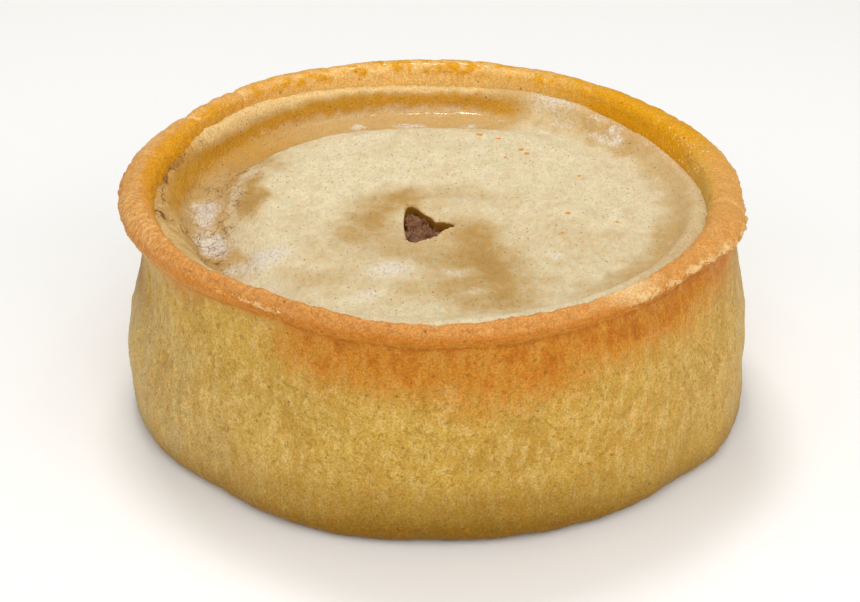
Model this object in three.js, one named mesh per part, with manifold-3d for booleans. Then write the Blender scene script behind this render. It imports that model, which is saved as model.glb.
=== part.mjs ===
import * as THREE from 'three';
import { mergeVertices } from 'three/addons/utils/BufferGeometryUtils.js';
import Module from 'manifold-3d';

const wasm = await Module();
wasm.setup();

const { degToRad, radToDeg, lerp, smoothstep } = THREE.MathUtils;

// A hand-raised pork pie: a cup of pastry with a raised rim, a lid sunk inside it and meat below.
// Lengths are in mm and the pie stands on z = 0 with its front at -Y.
const PIE_HEIGHT = 35;
const BASE_RADIUS = 45;
const BASE_CENTRE_X = 0.3;
const RIM_CENTRE_X = -0.7;
const FLOOR_THICKNESS = 4;
const LID_THICKNESS = 2.6;
const LID_EDGE_THICKNESS = 1.5;
const STEEP_THICKNESS = 0.9;
const LID_MIDDLE = 30.2;
const GAP = 0.3;
const MEAT_DEPTH = 0.7;
const STEPS_ROUND = 84;
const FILLING_STEPS = 56;

// Each table goes round the pie: a direction in degrees (0 right, 90 back, 180 left) and a length.
const BASE_EDGE = [[-165, 46.1], [-150, 45.4], [-138, 44.2], [-124, 44.6], [-108, 44.7], [-90, 44.3],
  [-72, 44.6], [-52, 45.1], [-38, 45.0], [-26, 46.5], [-10, 45.9], [15, 46.0], [45, 45.2], [90, 44.4],
  [135, 45.0], [170, 46.0]];
const RIM_EDGE = [[-172, 45.2], [-160, 44.7], [-140, 44.0], [-122, 43.2], [-108, 44.7], [-90, 46.3],
  [-70, 45.8], [-38, 44.6], [-21, 46.2], [-8, 45.1], [4, 45.0], [26, 44.3], [38, 43.7], [58, 44.3],
  [68, 45.0], [78, 44.9], [94, 45.3], [108, 45.2], [124, 46.0], [144, 44.9], [155, 45.3], [172, 45.6]];
const LID_EDGE = [[-160, 40.0], [-140, 40.6], [-124, 40.6], [-108, 42.2], [-90, 43.7], [-65, 43.0],
  [-40, 41.3], [-20, 40.2], [0, 39.2], [22, 38.6], [45, 38.9], [70, 39.8], [95, 40.4], [130, 40.7],
  [150, 39.6], [165, 39.0], [180, 39.3]];
const WAIST = [[-171, 42.8], [-150, 42.6], [-125, 42.4], [-108, 43.6], [-90, 44.4], [-65, 44.4],
  [-40, 44.0], [-12, 44.1], [20, 43.6], [45, 42.8], [90, 43.6], [135, 43.6]];
const LIP_DROP = [[-90, 1.9], [0, 1.9], [90, 2.3], [180, 2.9]];
const FLANGE_TOP = [[-150, 33.2], [-120, 33.8], [-90, 34.6], [-50, 34.0], [-20, 33.0], [10, 31.3],
  [40, 31.6], [60, 32.3], [90, 31.7], [134, 33.0], [160, 32.8], [180, 32.6]];
const GROOVE_FLOOR = [[-163, 27.1], [-140, 28.3], [-120, 30.0], [-90, 30.6], [-40, 30.8], [0, 30.0],
  [30, 29.3], [60, 28.7], [75, 27.9], [90, 27.5], [130, 27.5], [160, 27.3], [180, 27.0]];
const GROOVE_OUTSIDE = [[-163, 33.6], [-140, 36.0], [-120, 37.4], [-90, 38.2], [-40, 37.3], [0, 35.2],
  [30, 35.0], [60, 36.5], [90, 38.0], [130, 38.2], [160, 36.4], [180, 35.0]];
const GROOVE_INSIDE = [[-163, 31.2], [-140, 33.6], [-120, 35.6], [-90, 36.8], [-40, 36.2], [0, 33.0],
  [30, 32.5], [60, 32.2], [90, 32.2], [130, 34.0], [160, 34.0], [180, 33.2]];
const DOME_SHOULDER = [[-163, 24.5], [-140, 27.0], [-120, 30.0], [-90, 33.0], [-40, 33.6], [0, 30.0],
  [30, 27.0], [60, 26.5], [90, 25.0], [115, 26.3], [145, 28.0], [180, 27.0]];

// Swells and dents of the lid: where, how far up or down, and how wide.
const LID_SWELLS = [
  { x: -1, y: -5, rise: -0.9, spread: 12 },
  { x: 9, y: -17, rise: -0.6, spread: 9 },
  { x: -6, y: -21.5, rise: 0.6, spread: 8 },
  { x: -22, y: -17, rise: 0.4, spread: 9 },
  { x: 5, y: -2, rise: 0.5, spread: 4 },
  { x: 0, y: 14, rise: 0.5, spread: 18 },
  { x: 1.5, y: -9.5, rise: 0.6, spread: 3 },
  { x: 20, y: 24, rise: 0.5, spread: 5 },
  { x: 27, y: 22.5, rise: 0.7, spread: 2.2 },
  { x: 15, y: 31, rise: 0.5, spread: 4 },
  { x: -33, y: -10, rise: -0.9, spread: 3 },
  { x: -29.5, y: -18, rise: -0.8, spread: 3 },
  { x: -26, y: 6, rise: 0.5, spread: 6 },
  { x: 24, y: -6, rise: 0.4, spread: 8 },
];

// Low lumps and hollows of the wall: direction, height, how far out or in, and how wide.
const WALL_SWELLS = [
  { side: -12, z: 2.5, rise: 0.4, spread: 4 },
  { side: -35, z: 2, rise: 0.3, spread: 5 },
  { side: -62, z: 16, rise: 0.4, spread: 8 },
  { side: -80, z: 22, rise: -0.4, spread: 6 },
  { side: -98, z: 12, rise: 0.4, spread: 9 },
  { side: -122, z: 18, rise: -0.4, spread: 7 },
  { side: -145, z: 9, rise: 0.4, spread: 7 },
  { side: 176, z: 3.5, rise: -0.4, spread: 3 },
  { side: 120, z: 14, rise: 0.5, spread: 9 },
  { side: 75, z: 19, rise: -0.4, spread: 8 },
  { side: 40, z: 9, rise: 0.4, spread: 8 },
];

// Creases pressed across the rim: direction, how deep, and how wide in degrees.
const RIM_CREASES = [
  { side: 151, rise: -0.5, spread: 1.6 },
  { side: 136, rise: -0.5, spread: 1.5 },
  { side: 112, rise: -0.25, spread: 3 },
  { side: 52, rise: -0.3, spread: 2.5 },
  { side: -12, rise: -0.35, spread: 3 },
  { side: -60, rise: -0.3, spread: 3.5 },
  { side: -100, rise: -0.3, spread: 3 },
  { side: -127, rise: -0.4, spread: 3 },
  { side: -152, rise: -0.3, spread: 3 },
];

// The torn steam hole, as points round its edge.
const HOLE = [[-3.4, 0.2], [-4.1, -0.4], [-4.4, -2.2], [-4.5, -5.3], [-4.3, -8.2], [-3.9, -11.2],
  [-2.9, -11.8], [-1.8, -11.0], [-0.3, -10.4], [0.6, -9.5], [1.6, -8.1], [2.9, -6.1], [2.1, -5.7],
  [0.9, -5.1], [0.0, -5.3], [-0.5, -3.9], [-1.9, -2.2], [-2.8, -0.6]];

// Lumps of meat that show in the steam hole.
const MEAT_LUMPS = [
  { x: -2.9, y: -3.2, rise: 0.7, spread: 1.5 },
  { x: -3.0, y: -7.4, rise: 0.9, spread: 1.6 },
  { x: -0.8, y: -6.6, rise: 0.8, spread: 1.5 },
  { x: 0.9, y: -6.8, rise: 0.4, spread: 1.2 },
  { x: -2.2, y: -10.0, rise: 0.6, spread: 1.3 },
];

// Radii of the rings of points in the lid, as shares of its edge.
const LID_RINGS = [0.06, 0.13, 0.2, 0.28, 0.37, 0.46, 0.55, 0.63, 0.7, 0.76, 0.81, 0.855, 0.89, 0.92,
  0.945, 0.967, 0.985, 1];

// Radii of the rings of points in the top of the filling.
const MEAT_RINGS = [1.5, 3, 4.4, 5.8, 7.2, 8.6, 10, 12.5, 17, 23, 29, 34.5];

// Value of a table in one direction, passing smoothly through its stops.
function around(table, side) {
  const count = table.length;
  const turn = (((side - table[0][0]) % 360) + 360) % 360 + table[0][0];
  let i = 0;
  while (i < count - 1 && table[i + 1][0] <= turn) i++;
  const [before, from, to, after] = [-1, 0, 1, 2].map((step) => {
    const k = i + step;
    const stop = table[(k + count) % count];
    return [stop[0] + 360 * Math.floor(k / count), stop[1]];
  });
  const width = to[0] - from[0];
  const t = (turn - from[0]) / width;
  const leave = ((to[1] - before[1]) / (to[0] - before[0])) * width;
  const arrive = ((after[1] - from[1]) / (after[0] - from[0])) * width;
  return (2 * t ** 3 - 3 * t ** 2 + 1) * from[1] + (t ** 3 - 2 * t ** 2 + t) * leave
    + (3 * t ** 2 - 2 * t ** 3) * to[1] + (t ** 3 - t ** 2) * arrive;
}

// Sum of rounded swells at a point of a plane.
function swells(list, x, y) {
  return list.reduce((sum, s) => {
    const away = Math.hypot(x - s.x, y - s.y) / s.spread;
    return sum + s.rise * Math.exp(-(away ** 2));
  }, 0);
}

// Shortest turn between two directions, in degrees.
function turnBetween(a, b) {
  return ((a - b + 540) % 360 + 360) % 360 - 180;
}

function wallSwell(side, z) {
  const lumps = WALL_SWELLS.reduce((sum, s) => {
    const along = degToRad(turnBetween(side, s.side)) * BASE_RADIUS;
    return sum + s.rise * Math.exp(-(along ** 2 + (z - s.z) ** 2) / s.spread ** 2);
  }, 0);
  const wave = 0.12 * Math.sin(degToRad(9 * side) + 0.22 * z);
  const ripple = 0.08 * Math.sin(degToRad(17 * side) - 0.5 * z);
  return lumps + wave + ripple;
}

function rimCrease(side) {
  return RIM_CREASES.reduce((sum, c) => {
    const away = turnBetween(side, c.side) / c.spread;
    return sum + c.rise * Math.exp(-(away ** 2));
  }, 0);
}

// Height of the top of the lid over a point.
function lidTop(x, y) {
  const radius = Math.hypot(x - RIM_CENTRE_X, y);
  const side = radToDeg(Math.atan2(y, x - RIM_CENTRE_X));
  const edge = around(LID_EDGE, side);
  const groove = around(GROOVE_FLOOR, side);
  const fall = smoothstep(radius, around(DOME_SHOULDER, side), around(GROOVE_INSIDE, side));
  const climb = smoothstep(radius, around(GROOVE_OUTSIDE, side), edge - 1.1);
  const bowl = lerp(LID_MIDDLE, groove, fall);
  const top = lerp(bowl, around(FLANGE_TOP, side), climb);
  return top + swells(LID_SWELLS, x, y) * (1 - climb) - 0.25 * smoothstep(radius, edge - 0.9, edge);
}

// Height of its underside, low enough that the lid is also thick where it climbs steeply to the rim.
function lidBottom(x, y) {
  const radius = Math.hypot(x - RIM_CENTRE_X, y);
  const side = radToDeg(Math.atan2(y, x - RIM_CENTRE_X));
  const share = radius / around(LID_EDGE, side);
  const inward = polar(RIM_CENTRE_X, radius - STEEP_THICKNESS * smoothstep(share, 0.7, 0.8), side);
  const top = Math.min(lidTop(x, y), lidTop(...inward));
  return top - lerp(LID_THICKNESS, LID_EDGE_THICKNESS, smoothstep(share, 0.9, 1));
}

// Point at a radius and direction from an axis at x = centreX.
function polar(centreX, radius, side) {
  return [centreX + radius * Math.cos(degToRad(side)), radius * Math.sin(degToRad(side))];
}

// Closed solid from a geometry, with shared corners and no collapsed triangles.
function solidFrom(geometry) {
  geometry.deleteAttribute('normal');
  geometry.deleteAttribute('uv');
  const merged = mergeVertices(geometry, 1e-4);
  const corners = merged.getIndex().array;
  const triangles = [];
  for (let i = 0; i < corners.length; i += 3) {
    const [a, b, c] = [corners[i], corners[i + 1], corners[i + 2]];
    if (a !== b && b !== c && c !== a) triangles.push(a, b, c);
  }
  return new wasm.Manifold(new wasm.Mesh({
    numProp: 3,
    vertProperties: new Float32Array(merged.getAttribute('position').array),
    triVerts: new Uint32Array(triangles),
  }));
}

// A turned solid whose outline, a list of [x, y, z] from axis to axis, changes with the direction.
function turnedSolid(outlineAt, steps) {
  const first = outlineAt(0);
  const shape = new THREE.LatheGeometry(first.map(([x, , z]) => new THREE.Vector2(x, z)), steps);
  const position = shape.getAttribute('position');
  for (let i = 0; i <= steps; i++) {
    outlineAt(360 * (i % steps) / steps).forEach((point, j) => {
      position.setXYZ(i * first.length + j, ...point);
    });
  }
  return solidFrom(shape);
}

function meshFrom(solid, name, material) {
  const { vertProperties, triVerts } = solid.getMesh();
  const geometry = new THREE.BufferGeometry();
  geometry.setAttribute('position', new THREE.BufferAttribute(new Float32Array(vertProperties), 3));
  geometry.setIndex(new THREE.BufferAttribute(new Uint32Array(triVerts), 1));
  geometry.computeVertexNormals();
  const mesh = new THREE.Mesh(geometry, material);
  mesh.name = name;
  return mesh;
}

// Half outline of the pastry cup: under the base, up the wall, over the rim and down inside.
function caseOutline(side) {
  const rim = around(RIM_EDGE, side) + 0.3 * rimCrease(side);
  const waist = around(WAIST, side);
  const inner = around(LID_EDGE, side) + GAP;
  const under = lidBottom(...polar(RIM_CENTRE_X, inner - GAP, side)) - GAP;
  const ledge = Math.min(inner - 0.5, 39.8);
  const ledgeTop = lidBottom(...polar(RIM_CENTRE_X, ledge, side)) - GAP - 0.15;
  const drop = around(LIP_DROP, side);
  const crest = PIE_HEIGHT + 0.5 * rimCrease(side) - 0.1 * Math.sin(degToRad(7 * side));
  const sway = 1.75 * Math.cos(degToRad(side));

  // Wall radius about the base centre; the shoulder sits higher on the right than on the left.
  const wall = (z) => {
    const up = smoothstep(z - sway, 11.5, 26.5);
    const foot = 1.9 * (1 - smoothstep(z, -1.2, 2.4)) ** 1.5;
    return [z, lerp(around(BASE_EDGE, side), waist, up) - foot + wallSwell(side, z)];
  };
  const fromBase = ([z, radius]) => [...polar(lerp(BASE_CENTRE_X, 0, z / 28), radius, side), z];
  const fromRim = (radius, z) => [...polar(RIM_CENTRE_X, radius, side), z];

  return [
    [0, 0, 0],
    [...polar(0, 22, side), 0],
    fromBase([0, wall(0)[1] - 0.8]),
    ...[0.6, 2, 4, 6.5, 9.5, 12.5, 15.5, 18.5, 21.5, 24.5, 27.5].map((z) => fromBase(wall(z))),
    fromRim(rim - 1.5, crest - drop - 1.9),
    fromRim(rim - 0.35, crest - drop - 0.9),
    fromRim(rim, crest - drop + 0.2),
    fromRim(rim - 0.35, crest - 0.75 * drop + 0.6),
    fromRim(lerp(rim, inner, 0.28), crest - 0.25),
    fromRim(lerp(rim, inner, 0.55), crest),
    fromRim(lerp(rim, inner, 0.85), crest - 0.3),
    fromRim(inner + 0.25, crest - 0.85 - 0.15 * (crest - under)),
    fromRim(inner, lerp(under, crest, 0.3)),
    fromRim(inner, under),
    fromRim(ledge, ledgeTop),
    fromRim(ledge, 24),
    [...polar(0, 40.6, side), 12],
    [...polar(0, 39.8, side), 6],
    [...polar(0, 37.5, side), FLOOR_THICKNESS],
    [0, 0, FLOOR_THICKNESS],
  ];
}

function lidOutline(side) {
  const edge = around(LID_EDGE, side);
  const at = (share, height) => {
    const [x, y] = polar(RIM_CENTRE_X, share * edge, side);
    return [x, y, height(x, y)];
  };
  const underRings = LID_RINGS.filter((share, i) => i % 2 === 1 || share > 0.9);
  return [
    at(0, lidBottom),
    ...underRings.map((share) => at(share, lidBottom)),
    ...[...LID_RINGS].reverse().map((share) => at(share, lidTop)),
    at(0, lidTop),
  ];
}

function steamHole() {
  const edge = new THREE.SplineCurve([...HOLE, HOLE[0]].map(([x, y]) => new THREE.Vector2(x, y)));
  const shape = new THREE.Shape(edge.getPoints(45).slice(0, -1));
  const prism = new THREE.ExtrudeGeometry(shape, { depth: 12, steps: 1, bevelEnabled: false });
  prism.translate(0, 0, 23);
  return solidFrom(prism);
}

// Meat that fills the cup up to the underside of the lid.
function fillingOutline(side) {
  const meatTop = (x, y) => lidBottom(x, y) - MEAT_DEPTH + swells(MEAT_LUMPS, x, y);
  const top = MEAT_RINGS.map((radius) => {
    const [x, y] = polar(RIM_CENTRE_X, radius, side);
    return [x, y, meatTop(x, y)];
  });
  return [
    [RIM_CENTRE_X, 0, FLOOR_THICKNESS + GAP],
    [...polar(0, 37.1, side), FLOOR_THICKNESS + GAP],
    [...polar(0, 39.4, side), 6.2],
    [...polar(0, 40.2, side), 12],
    [...polar(RIM_CENTRE_X, 38.4, side), 23],
    ...top.reverse(),
    [RIM_CENTRE_X, 0, meatTop(RIM_CENTRE_X, 0)],
  ];
}

const coat = (name, color, roughness) => new THREE.MeshStandardMaterial({ name, color, roughness });
const bakedCrust = coat('baked_crust', '#c08a45', 0.55);
const paleCrust = coat('pale_crust', '#dcc79c', 0.6);
const mincedPork = coat('minced_pork', '#75503a', 0.45);

const group = new THREE.Group();
group.name = 'pork_pie';
group.add(meshFrom(turnedSolid(caseOutline, STEPS_ROUND), 'case', bakedCrust));
group.add(meshFrom(turnedSolid(lidOutline, STEPS_ROUND).subtract(steamHole()), 'lid', paleCrust));
group.add(meshFrom(turnedSolid(fillingOutline, FILLING_STEPS), 'filling', mincedPork));

export default group;
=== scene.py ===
# A hand-raised pork pie: golden pastry cup, pale sunken lid with a torn steam hole, minced meat inside.
import math

import bpy
import numpy as np
from mathutils import Matrix, Quaternion, Vector, noise


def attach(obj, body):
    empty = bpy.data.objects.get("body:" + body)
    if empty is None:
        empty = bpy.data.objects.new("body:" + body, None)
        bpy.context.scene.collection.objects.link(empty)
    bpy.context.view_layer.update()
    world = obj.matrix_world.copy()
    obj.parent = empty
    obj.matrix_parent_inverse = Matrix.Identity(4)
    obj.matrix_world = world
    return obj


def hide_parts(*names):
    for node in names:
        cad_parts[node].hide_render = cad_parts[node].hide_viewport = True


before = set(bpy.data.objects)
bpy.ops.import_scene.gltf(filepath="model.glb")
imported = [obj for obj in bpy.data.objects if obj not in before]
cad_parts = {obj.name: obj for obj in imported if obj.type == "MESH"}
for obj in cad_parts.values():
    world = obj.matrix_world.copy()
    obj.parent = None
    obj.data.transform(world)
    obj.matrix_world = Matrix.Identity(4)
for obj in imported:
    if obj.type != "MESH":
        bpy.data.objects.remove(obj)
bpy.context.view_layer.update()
print("frame loaded")

mm = 0.001
rimCentreX = -0.7  # in mm: the rim and the lid sit a little left of the base


# small tools for meshes, all in mm

def placesOf(piece):
    flat = np.empty(len(piece.data.vertices) * 3, np.float32)
    piece.data.vertices.foreach_get("co", flat)
    return flat.reshape(-1, 3).astype(float) / mm


def normalsOf(piece):
    flat = np.empty(len(piece.data.vertices) * 3, np.float32)
    piece.data.vertex_normals.foreach_get("vector", flat)
    return flat.reshape(-1, 3).astype(float)


def movePlaces(piece, points):
    piece.data.vertices.foreach_set("co", (points * mm).astype(np.float32).ravel())
    piece.data.update()


def ramp(value, low, high):
    t = np.clip((value - low) / (high - low), 0, 1)
    return t * t * (3 - 2 * t)


def roundAbout(points):
    # radius and direction in degrees about the rim's centre
    across = points[:, 0] - rimCentreX
    return np.hypot(across, points[:, 1]), np.degrees(np.arctan2(points[:, 1], across))


def turnFrom(sides, side):
    return (sides - side + 180) % 360 - 180


def around(sides, side, width):
    return np.exp(-(turnFrom(sides, side) / width) ** 2)


def alongRim(radius, sides, side):
    # distance from one direction in mm, measured along the rim
    return np.radians(turnFrom(sides, side)) * radius


def byDirection(sides, table):
    return np.interp(sides, [row[0] for row in table], [row[1] for row in table], period=360)


def spot(points, x, y, size, stretch=1.0, turn=0.0):
    # soft patch seen from above, 1 in the middle
    c, s = math.cos(math.radians(turn)), math.sin(math.radians(turn))
    dx, dy = points[:, 0] - x, points[:, 1] - y
    return np.exp(-((dx * c + dy * s) / (size * stretch)) ** 2 - ((dy * c - dx * s) / size) ** 2)


def offLine(points, line):
    # distance to a line of points seen from above
    best = np.full(len(points), 1e9)
    for start, end in zip(line, line[1:]):
        a, d = np.array(start), np.array(end) - np.array(start)
        t = np.clip(((points[:, :2] - a) @ d) / (d @ d), 0, 1)
        best = np.minimum(best, np.linalg.norm(points[:, :2] - a - t[:, None] * d, axis=1))
    return best


def within(points, line):
    # 1 inside a closed line of points seen from above
    odd = np.zeros(len(points), bool)
    for (x, y), (nextX, nextY) in zip(line, line[1:] + line[:1]):
        crosses = (y > points[:, 1]) != (nextY > points[:, 1])
        odd ^= crosses & (points[:, 0] < (nextX - x) * (points[:, 1] - y) / (nextY - y + 1e-12) + x)
    return odd.astype(float)


def cloudy(points, size, octaves=3, shift=0.0):
    # uneven field, about -0.7 to 0.7, with lumps of one size
    off = Vector((shift, -shift, 2 * shift))
    return np.array([noise.fractal(Vector(p) / size + off, 1.0, 2.0, octaves) for p in points])


def wandered(points, size, reach):
    # the same points, shifted unevenly, so that lines drawn with them come out ragged
    moved = points.copy()
    moved[:, 0] += reach * cloudy(points, size, 3, 11.0)
    moved[:, 1] += reach * cloudy(points, size, 3, 17.0)
    return moved


def activate(piece):
    if bpy.context.object and bpy.context.object.mode != "OBJECT":
        bpy.ops.object.mode_set(mode="OBJECT")
    bpy.ops.object.select_all(action="DESELECT")
    piece.select_set(True)
    bpy.context.view_layer.objects.active = piece


def applyModifier(piece, kind, **settings):
    activate(piece)
    modifier = piece.modifiers.new(kind.lower(), kind)
    for name, value in settings.items():
        setattr(modifier, name, value)
    bpy.ops.object.modifier_apply(modifier=modifier.name)


def addRelief(piece, layers):
    # lumps of each size and height, both in mm
    for size, height in layers:
        texture = bpy.data.textures.new("lumps", "CLOUDS")
        texture.noise_scale = size * mm
        texture.noise_depth = 2
        applyModifier(piece, "DISPLACE", texture=texture, strength=height * mm, mid_level=0.5,
                      texture_coords="LOCAL")
        bpy.data.textures.remove(texture)


def thinTo(piece, triangles):
    piece.data.calc_loop_triangles()
    now = len(piece.data.loop_triangles)
    if now > triangles:
        applyModifier(piece, "DECIMATE", ratio=triangles / now)


def copyNode(node, name):
    # a merged copy of a node, with its triangles paired into quads
    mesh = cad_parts[node].data.copy()
    mesh.materials.clear()
    piece = bpy.data.objects.new(name, mesh)
    bpy.context.scene.collection.objects.link(piece)
    activate(piece)
    bpy.ops.object.mode_set(mode="EDIT")
    bpy.ops.mesh.select_mode(type="VERT")
    bpy.ops.mesh.select_all(action="SELECT")
    bpy.ops.mesh.remove_doubles(threshold=0.01 * mm)
    bpy.ops.mesh.customdata_custom_splitnormals_clear()
    bpy.ops.mesh.tris_convert_to_quads()
    bpy.ops.object.mode_set(mode="OBJECT")
    return piece


def paint(piece, name, channels):
    # four values for every vertex, which the material reads back
    values = np.clip(np.stack(channels, axis=1), 0, 1).astype(np.float32)
    layer = piece.data.attributes.new(name, "FLOAT_COLOR", "POINT")
    layer.data.foreach_set("color", values.ravel())


def finishPiece(piece, material, replaced=None):
    activate(piece)
    bpy.ops.object.shade_smooth()
    piece.data.materials.append(material)
    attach(piece, "root")
    if replaced:
        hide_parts(replaced)
    print(piece.name, "made,", len(piece.data.polygons), "faces")


# materials

def linear(hexText):
    channels = [int(hexText[i:i + 2], 16) / 255 for i in (1, 3, 5)]
    return tuple(c / 12.92 if c <= 0.04045 else ((c + 0.055) / 1.055) ** 2.4 for c in channels) + (1.0,)


def addNode(tree, kind, inputs=None, **settings):
    node = tree.nodes.new("ShaderNode" + kind)
    for name, value in settings.items():
        setattr(node, name, value)
    for key, value in (inputs or {}).items():
        if isinstance(value, bpy.types.NodeSocket):
            tree.links.new(value, node.inputs[key])
        else:
            node.inputs[key].default_value = value
    return node


def startMaterial(name, **shaderValues):
    material = bpy.data.materials.new(name)
    material.use_nodes = True
    tree = material.node_tree
    tree.nodes.clear()
    shader = addNode(tree, "BsdfPrincipled", shaderValues)
    addNode(tree, "OutputMaterial", {"Surface": shader.outputs[0]})
    place = addNode(tree, "TexCoord").outputs["Object"]
    inMm = addNode(tree, "Mapping", {"Vector": place, "Scale": (1 / mm,) * 3}).outputs[0]
    return material, tree, shader, inMm


def mottle(tree, inMm, size, detail=3.0, squash=(1, 1, 1), roughness=0.6):
    # noise with lumps of a real size in mm
    where = addNode(tree, "Mapping", {"Vector": inMm, "Scale": squash}).outputs[0]
    return addNode(tree, "TexNoise", {"Vector": where, "Scale": 1 / size, "Detail": detail,
                                      "Roughness": roughness}).outputs[0]


def tinted(tree, colour, look, layers):
    # lays tints over a colour, each where its value goes from low to high, at most by a number or a mask
    for value, low, high, most, tint in layers:
        mask = addNode(tree, "MapRange", {0: value, 1: low, 2: high, 3: 0, 4: most}).outputs[0]
        mixed = addNode(tree, "Mix", {0: mask, 6: colour, 7: linear(look[tint])}, data_type="RGBA")
        colour = mixed.outputs[2]
    return colour


def painted(tree, name):
    # the four values that paint() stored
    layer = addNode(tree, "Attribute", attribute_name=name)
    zones = addNode(tree, "SeparateColor", {0: layer.outputs["Color"]}).outputs
    return zones[0], zones[1], zones[2], layer.outputs["Alpha"]


def plainColour(tree, hexText):
    node = addNode(tree, "RGB")
    node.outputs[0].default_value = linear(hexText)
    return node.outputs[0]


def specks(tree, inMm, spacing, width, share):
    # 1 inside small round specks, on only a share of the grid's cells
    cells = addNode(tree, "TexVoronoi", {"Vector": inMm, "Scale": 1 / spacing})
    near = addNode(tree, "Math", {0: cells.outputs["Distance"], 1: width}, operation="LESS_THAN").outputs[0]
    picked = addNode(tree, "Math", {0: cells.outputs["Color"], 1: 1 - share}, operation="GREATER_THAN")
    return addNode(tree, "Math", {0: near, 1: picked.outputs[0]}, operation="MULTIPLY").outputs[0]


def stackedBump(tree, shader, layers):
    # several bumps on one another: height, strength and depth in mm
    normal = None
    for height, strength, depth in layers:
        inputs = {"Height": height, "Strength": strength, "Distance": depth * mm}
        if normal:
            inputs["Normal"] = normal
        normal = addNode(tree, "Bump", inputs).outputs[0]
    tree.links.new(normal, shader.inputs["Normal"])


def acrossRim(tree, inMm):
    # short fine lines that cross the rim, where the pastry stretched as it was turned over by hand
    drift = addNode(tree, "TexNoise", {"Vector": inMm, "Scale": 1 / 3.5, "Detail": 2}).outputs["Color"]
    drift = addNode(tree, "VectorMath", {0: drift, "Scale": 2.4}, operation="SCALE").outputs[0]
    centred = {"Vector": inMm, "Location": (-rimCentreX, 0, 0), "Scale": (1, 1, 0)}
    spoke = addNode(tree, "Mapping", centred).outputs[0]
    spoke = addNode(tree, "VectorMath", {0: spoke}, operation="NORMALIZE").outputs[0]
    spoke = addNode(tree, "VectorMath", {0: spoke, "Scale": 45}, operation="SCALE").outputs[0]
    spoke = addNode(tree, "VectorMath", {0: spoke, 1: drift}, operation="ADD").outputs[0]
    along = addNode(tree, "VectorMath", {0: inMm, "Scale": 0.3}, operation="SCALE").outputs[0]
    spoke = addNode(tree, "VectorMath", {0: spoke, 1: along}, operation="ADD").outputs[0]
    return addNode(tree, "TexNoise", {"Vector": spoke, "Scale": 1 / 0.55, "Detail": 2}).outputs[0]


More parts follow.
